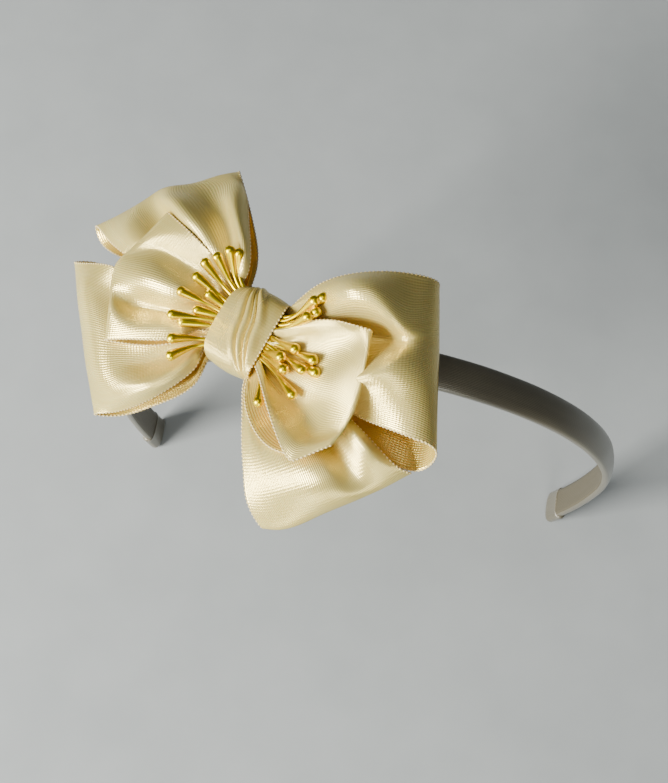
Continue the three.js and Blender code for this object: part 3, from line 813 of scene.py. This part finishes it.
def lower_ring():
    """The ring of ribbon that lies lowest, from the upper right to the lower left."""
    grid = ring_surface(RIGHT_LOWER, LEFT_LOWER,
                        [(0, (-4.5, 6, 6.4)), (1, (-2.5, -6, 6.4))],
                        [(0, (-4.5, 6, 4.0)), (1, (-2.5, -6, 4.0))],
                        RIBBON_COLUMNS, LOBE_ROWS, LOWER_PLEATS)
    declare_ring("lower_ribbon_loops", grid, "bow_loop_lower")


def upper_ring():
    """The ring across it, from the upper left to the lower right."""
    grid = ring_surface(mirrored(RIGHT_UPPER), LEFT_UPPER,
                        [(0, (-3.5, 6, 9.4)), (1, (-3.5, -6, 9.4))],
                        [(0, (-3.5, 6, 7.4)), (1, (-3.5, -6, 7.4))],
                        RIBBON_COLUMNS, LOBE_ROWS, UPPER_PLEATS)
    declare_ring("upper_ribbon_loops", grid, "bow_loop_upper")


def petal_ring():
    """The short ring on top, flattened into two petals."""
    grid = ring_surface(RIGHT_PETAL, LEFT_PETAL,
                        [(0, (-3.5, 4.5, 11.6)), (1, (-3.5, -4.5, 11.6))],
                        [(0, (-3.5, 4.5, 10.3)), (1, (-3.5, -4.5, 10.3))],
                        RIBBON_COLUMNS, LOBE_ROWS * 3 // 4, PETAL_PLEATS)
    declare_ring("petal_ribbon_loops", grid, "bow_petals")


# The knot: across is round the bow's middle, along is between its two edges
KNOT_HALF_LENGTH = 8.6
KNOT_HALF_WIDTH = 12
KNOT_LOW = 2.4
KNOT_HIGH = 15.8
KNOT_ROWS = 160
KNOT_COLUMNS = 121
KNOT_ROUNDNESS = 2 / 3
KNOT_CROWN = 0.9
KNOT_PINCH = 0.16
# Where the middle tuck starts along the knot, how far it slants, and how close the tucks draw
TUCK_START = 0.28
TUCK_SLANT = 0.62
TUCK_CLOSEST = 0.35
# Each tuck's offset along the knot, its height, below 0 for a groove, and its width
KNOT_TUCKS = [(-0.20, 0.35, 0.07), (-0.13, -0.75, 0.026), (-0.05, 0.55, 0.045), (0.02, -0.75, 0.022),
              (0.055, 0.35, 0.02), (0.10, -0.85, 0.024), (0.20, 0.85, 0.08)]


def knot_oval(angle, swell):
    """A point of the knot's section at an angle, moved outward by swell."""
    half_height = (KNOT_HIGH - KNOT_LOW) / 2
    c, s = np.cos(angle), np.sin(angle)
    sideways = np.sign(c) * np.abs(c) ** KNOT_ROUNDNESS * (KNOT_HALF_WIDTH + swell)
    rise = np.sign(s) * np.abs(s) ** KNOT_ROUNDNESS * (half_height + swell)
    return sideways, (KNOT_HIGH + KNOT_LOW) / 2 + rise


def knot_tucks(share, down):
    """How far the knot's cloth stands out at a share of its length.

    The tucks cross the knot slantwise as down runs from 0 at its upper end to 1 at its lower end,
    and they draw together at both ends."""
    middle = TUCK_START + TUCK_SLANT * down
    spread = TUCK_CLOSEST + (1 - TUCK_CLOSEST) * np.sin(math.pi * np.clip(down, 0, 1))
    height = 0.0
    for offset, size, width in KNOT_TUCKS:
        height = height + size * np.exp(-((share - middle - offset * spread) / width) ** 2)
    return height


def knot_wrap():
    """The ribbon wound round the bow's middle, with tucks that run round it."""
    angle = np.linspace(0, 2 * math.pi, KNOT_ROWS, endpoint=False)[:, None]
    share = np.linspace(0, 1, KNOT_COLUMNS)[None, :]
    down = 0.5 - 0.5 * np.cos(angle)
    tuck = knot_tucks(share, down) * np.clip(np.sin(angle) + 0.5, 0, 1)
    crown = KNOT_CROWN * (1 - (2 * share - 1) ** 2)
    pinch = 1 - KNOT_PINCH * np.abs(np.cos(angle)) ** 3
    sideways, up = knot_oval(angle, tuck + crown - KNOT_CROWN)
    along = (2 * share - 1) * KNOT_HALF_LENGTH * pinch
    grid = on_bow(on_knot(along, sideways, up))[:, ::-1]
    wrap = thick_sheet("knot_ribbon", grid, RIBBON_THICKNESS)
    finish_piece(wrap, CREAM, "cream_satin", "knot_wrap")
    edge = selvedge("knot_ribbon_picots", [grid[:, 0]], CREAM_THREAD)


# ---------- the stamens ----------
# Each thread runs through the knot and carries a pearl bud at both ends. A row holds the left bud's
# place and the right bud's place in bow coordinates, and where the thread leaves the knot each side.

STAMENS = [
    ((-18.2, 16.2, 18.5), (13, 20.2, 20), 10.6, 6.9),
    ((-20, 14.9, 20.3), (12, 18.1, 21), 9.5, 5.7),
    ((-22.1, 11.2, 20.2), (14, 16.2, 19.5), 8.2, 4.4),
    ((-23.9, 7.6, 20.3), (13.4, 13.7, 20.5), 6.4, 3),
    ((-23.1, 2.9, 20.3), (16.3, 4.5, 18.5), 4.2, 0.8),
    ((-18.5, 1.5, 17), (22.5, 5.3, 18.5), 2.6, -0.3),
    ((-23.7, -3.2, 20.3), (21.9, 1.3, 18.5), 1.1, -1.4),
    ((-18, -4.5, 17), (25, 3.1, 17.5), -0.3, -2.4),
    ((-20.9, -10.1, 20.3), (14.1, 0.7, 17.8), -1.9, -3.4),
    ((-18.6, -9.8, 17.6), (17.3, -1.6, 17.8), -3.4, -4.4),
    ((-15.9, -15, 20), (23.4, -5.5, 16.5), -7.2, -5.5),
    ((-13.4, -19.1, 18), (17.2, -13.2, 17), -8.5, -7.3),
]
KNOT_EDGE = KNOT_HALF_LENGTH - 0.6
STEM_UP = 13.9
STEM_DIP = 0.4
STEM_ARCH = 0.012


def stamen_line(left, right, left_side, right_side):
    """The thread's centre line, from the left bud's base to the right bud's base."""
    left_exit = on_knot(-KNOT_EDGE, left_side, STEM_UP - STEM_ARCH * left_side ** 2)
    right_exit = on_knot(KNOT_EDGE, right_side, STEM_UP - STEM_ARCH * right_side ** 2)
    middle = on_knot(0, (left_side + right_side) / 2, STEM_UP - STEM_DIP)
    return smooth_line([left, left_exit, middle, right_exit, right], STAMEN_LINE_STEPS)


def stamen(index, row):
    """One thread with its two buds, as a single lathe-like tube along the thread."""
    line = on_bow(stamen_line(*row))
    length = chords(line, 1)
    bud = np.linspace(0, PEARL_LENGTH, BUD_STEPS)
    stem = np.linspace(PEARL_LENGTH, length[-1] - PEARL_LENGTH, STEM_STEPS)[1:-1]
    at = np.concatenate([bud, stem, length[-1] - bud[::-1]])
    points = np.stack([np.interp(at, length, line[:, k]) for k in range(3)], 1)
    from_end = np.minimum(at, length[-1] - at)
    radii = np.array([bud_radius(d) for d in from_end])
    rings = tube_points(points, radii, STAMEN_SIDES)
    piece = make_mesh("pearl_stamen_%02d" % index, rings.reshape(-1, 3),
                      tube_faces(len(points), STAMEN_SIDES, False))
    finish_piece(piece, PEARL, "pearl_yellow", "stamen_%02d" % index)


def bud_radius(distance):
    """The bud's radius at a distance from its tip: a round end, then a long taper into the stem."""
    if distance < PEARL_RADIUS:
        squared = PEARL_RADIUS ** 2 - (PEARL_RADIUS - distance) ** 2
        return math.sqrt(max(squared, BUD_TIP_RADIUS_SQUARED))
    if distance < PEARL_LENGTH:
        t = (distance - PEARL_RADIUS) / (PEARL_LENGTH - PEARL_RADIUS)
        taper = (PEARL_RADIUS - STEM_RADIUS) * (1 - t) ** BUD_TAPER_POWER
        return STEM_RADIUS + taper * (1 + BUD_FULLNESS * t)
    return STEM_RADIUS


# ---------- the band ----------

BAND_CLOTH = 0.3
COVER_ROWS = 520
COVER_COLUMNS = 41
# The cover's turned edge on the head side: places across the band and up from its face
HEM = [(3.6, 0.05), (BAND_WIDTH / 2 - 0.25, 0.1), (BAND_WIDTH / 2, 0.7)]
DOME_START = 0.12
DOME_POINTS = 9
# Height of the cover's ripples, and what sets their short, middle and long wavelengths
RIPPLE_HEIGHT = 0.05
RIPPLE_SHORT = 3.1
RIPPLE_MIDDLE = 11
RIPPLE_LONG = 17
LINING_ROWS = 300
LINING_COLUMNS = 21
LINING_MARGIN = 0.35
LINING_SINK = 0.3
LINING_EDGE_RISE = 0.35
LINING_END_GAP = 1
TIP_SIDES = 48
TIP_ROWS = 30
TIP_OVERHANG = 0.8
TIP_SQUARENESS = 0.7
TIP_SIDE_GAP = 0.75
TIP_TOP_GAP = 0.7
TIP_LIP = 0.12
TIP_CAP_SHARE = 0.2
TIP_CAP_BULGE = 0.4
TIP_CAP_WIDTH = 0.25
TIP_UV_STEP = 0.35


def sweep(profile, start, end, steps):
    """A grid of points: a profile of (across, outward) pairs carried along the band."""
    rows = []
    for length in np.linspace(start, end, steps):
        point, out = band_frame(length)
        rows.append([point + out * height + np.array([0, side, 0]) for side, height in profile])
    return np.array(rows)


def cover_profile(count):
    """The satin's section over the band: a flattened dome that turns under both edges."""
    points = list(HEM)
    for angle in np.linspace(DOME_START, math.pi - DOME_START, DOME_POINTS):
        points.append((BAND_WIDTH / 2 * math.cos(angle),
                       BAND_THICKNESS / 2 + BAND_THICKNESS / 2 * math.sin(angle)))
    points += [(-side, height) for side, height in reversed(HEM)]
    line = smooth_line([(side, height, 0) for side, height in points], count)
    return line[:, :2]


def band_cover():
    """The satin over the band, with the slight ripples of cloth drawn round a curve."""
    grid = sweep(cover_profile(COVER_COLUMNS), -BAND_END, BAND_END, COVER_ROWS)
    along = np.linspace(-BAND_END, BAND_END, COVER_ROWS)[:, None]
    share = np.linspace(0, 1, COVER_COLUMNS)[None, :]
    ripple = RIPPLE_HEIGHT * np.sin(along / RIPPLE_SHORT + 2 * np.sin(along / RIPPLE_LONG))
    ripple = ripple * np.sin(along / RIPPLE_MIDDLE + 9 * share)
    middle = np.sin(math.pi * share)
    grid = grid - grid_normals(grid, False) * (ripple * middle)[:, :, None]
    cover = thick_sheet("satin_cover", grid, BAND_CLOTH, closed_rows=False)
    finish_piece(cover, OLIVE, "olive_satin", "hoop_cover")


def band_lining():
    """The narrow ribbon glued inside the band, over the turned edges of the cover."""
    half = LINING_WIDTH / 2 - LINING_MARGIN
    profile = [(side, -LINING_SINK + LINING_EDGE_RISE * abs(side / half) ** 8)
               for side in np.linspace(half, -half, LINING_COLUMNS)]
    end = BAND_END - LINING_END_GAP
    grid = sweep(profile, -end, end, LINING_ROWS)
    lining = thick_sheet("satin_lining", grid, BAND_CLOTH, closed_rows=False)
    finish_piece(lining, OLIVE_LINING, "olive_lining", "hoop_lining")


def band_tip(name, node, side):
    """A satin sleeve folded over the end of the band, with a rounded closed end."""
    rows = []
    for step in range(TIP_ROWS + 1):
        t = step / TIP_ROWS
        length = BAND_END - TIP_LENGTH + (TIP_LENGTH + TIP_OVERHANG) * min(1, t * 1.15)
        cap = max(0.0, (t - (1 - TIP_CAP_SHARE)) / TIP_CAP_SHARE)
        shrink = math.sqrt(max(0.0, 1 - cap ** 2))
        length += TIP_CAP_BULGE * cap
        swell = TIP_LIP * math.exp(-((t - 0.03) / 0.04) ** 2)
        half_width = BAND_WIDTH / 2 + TIP_SIDE_GAP + swell
        half_height = BAND_THICKNESS / 2 + TIP_TOP_GAP + swell
        narrowing = TIP_CAP_WIDTH + (1 - TIP_CAP_WIDTH) * shrink
        point, out = band_frame(side * length)
        for k in range(TIP_SIDES):
            angle = 2 * math.pi * k / TIP_SIDES
            c, s = math.cos(angle), math.sin(angle)
            sideways = math.copysign(abs(c) ** TIP_SQUARENESS, c) * half_width
            up = math.copysign(abs(s) ** TIP_SQUARENESS, s) * half_height
            rows.append(point + out * (BAND_THICKNESS / 2 + up * shrink)
                        + np.array([0, sideways * narrowing, 0]))
    faces = tube_faces(TIP_ROWS + 1, TIP_SIDES, False)
    uvs = [(step * TIP_UV_STEP, k / TIP_SIDES) for step in range(TIP_ROWS + 1)
           for k in range(TIP_SIDES)]
    tip = make_mesh(name, rows, faces, uvs)
    if side < 0:
        tip.data.flip_normals()
    finish_piece(tip, OLIVE, "olive_satin", node)


# ---------- what joins the bow to the band ----------

def felt_pad():
    """The felt oval between the bow and the band."""
    node = frame["nodes"]["base_pad"]
    pad = make_mesh("base_felt", [tuple(v.co / MM) for v in node.data.vertices],
                    [tuple(p.vertices) for p in node.data.polygons])
    weld_and_round(pad)
    finish_piece(pad, FELT, "cream_felt", "base_pad")


def weld_and_round(piece):
    """Merges a copied node's doubled points and rounds it."""
    shape = bmesh.new()
    shape.from_mesh(piece.data)
    bmesh.ops.remove_doubles(shape, verts=shape.verts, dist=1e-6)
    shape.to_mesh(piece.data)
    shape.free()
    piece.data.polygons.foreach_set("use_smooth", [True] * len(piece.data.polygons))
    rounding = piece.modifiers.new("round", "SUBSURF")
    rounding.levels = rounding.render_levels = 1


def hidden_parts():
    """Materials for the CAD nodes that stay as they are."""
    for node, look in (("hoop_core", CORE), ("glue_bead", GLUE), ("gather_thread", THREAD)):
        piece = frame["nodes"][node]
        piece.data.materials.clear()
        piece.data.materials.append(look)


# ---------- the studio ----------

def camera():
    """The camera, high in front of the bow and a little rolled."""
    aim = Vector(AIM) * MM
    away = Vector((math.sin(CAMERA_AZIMUTH) * math.cos(CAMERA_ELEVATION),
                   -math.cos(CAMERA_AZIMUTH) * math.cos(CAMERA_ELEVATION),
                   math.sin(CAMERA_ELEVATION)))
    right = (-away).cross(Vector((0, 0, 1))).normalized()
    up = right.cross(-away)
    c, s = math.cos(CAMERA_ROLL), math.sin(CAMERA_ROLL)
    axes = Matrix((c * right + s * up, -s * right + c * up, away)).transposed()
    data = bpy.data.cameras.new("camera")
    data.sensor_width = SENSOR_WIDTH
    data.lens = LENS
    data.clip_start = CLIP_START * MM
    view = bpy.data.objects.new("camera", data)
    view.matrix_world = Matrix.Translation(aim + away * CAMERA_DISTANCE * MM) @ axes.to_4x4()
    bpy.context.scene.collection.objects.link(view)
    bpy.context.scene.camera = view


def floor():
    """A plain, pale and flat paper floor."""
    low = CAD_BOX[0][2] - FLOOR_DROP * MM
    size = FLOOR_HALF_SIZE * MM
    mesh = bpy.data.meshes.new("floor")
    mesh.from_pydata([(-size, -size, low), (size, -size, low), (size, size, low),
                      (-size, size, low)], [], [(0, 1, 2, 3)])
    ground = bpy.data.objects.new("floor", mesh)
    bpy.context.scene.collection.objects.link(ground)
    n = Nodes("floor_paper")
    grain = n.noise(n.coordinates("Object"), 40, 4)
    tone = n.ramp(grain, "Fac", [(0.3, (0.33, 0.35, 0.36)), (0.7, (0.36, 0.38, 0.39))])
    n.join(tone, "Color", n.shader, "Base Color")
    n.set(n.shader, Roughness=0.9)
    mesh.materials.append(n.material)


def lamp(name, place, target, size, power, colour):
    """A square area light that looks at a target."""
    data = bpy.data.lights.new(name, "AREA")
    data.shape = "RECTANGLE"
    data.size, data.size_y = size
    data.energy = power
    data.color = colour
    light = bpy.data.objects.new(name, data)
    light.location = place
    direction = Vector(target) - Vector(place)
    light.rotation_euler = direction.to_track_quat("-Z", "Y").to_euler()
    bpy.context.scene.collection.objects.link(light)


def lights():
    """A broad window from the front left, a weak lamp from the front, a fill and a grey room."""
    lamp("window", (-0.80, -0.56, 0.40), (-0.03, 0, 0), (0.5, 0.5), 39, (0.99, 0.98, 0.91))
    lamp("fill", (-0.3, -0.1, 0.95), (0, 0, 0), (0.6, 0.6), 2.5, (0.94, 0.97, 1.0))
    lamp("front", (0.15, -0.95, 0.30), (0, 0, 0), (0.5, 0.5), 5, (0.98, 1.0, 0.94))
    world = bpy.data.worlds.new("room")
    world.use_nodes = True
    background = world.node_tree.nodes["Background"]
    background.inputs["Color"].default_value = (0.60, 0.64, 0.68, 1)
    background.inputs["Strength"].default_value = 0.12
    bpy.context.scene.world = world


camera()
floor()
lights()
felt_pad()
lower_ring()
upper_ring()
petal_ring()
knot_wrap()
for number, ends in enumerate(STAMENS, 1):
    stamen(number, ends)
band_cover()
band_lining()
band_tip("tip_sleeve_left", "tip_left", -1)
band_tip("tip_sleeve_right", "tip_right", 1)
hidden_parts()
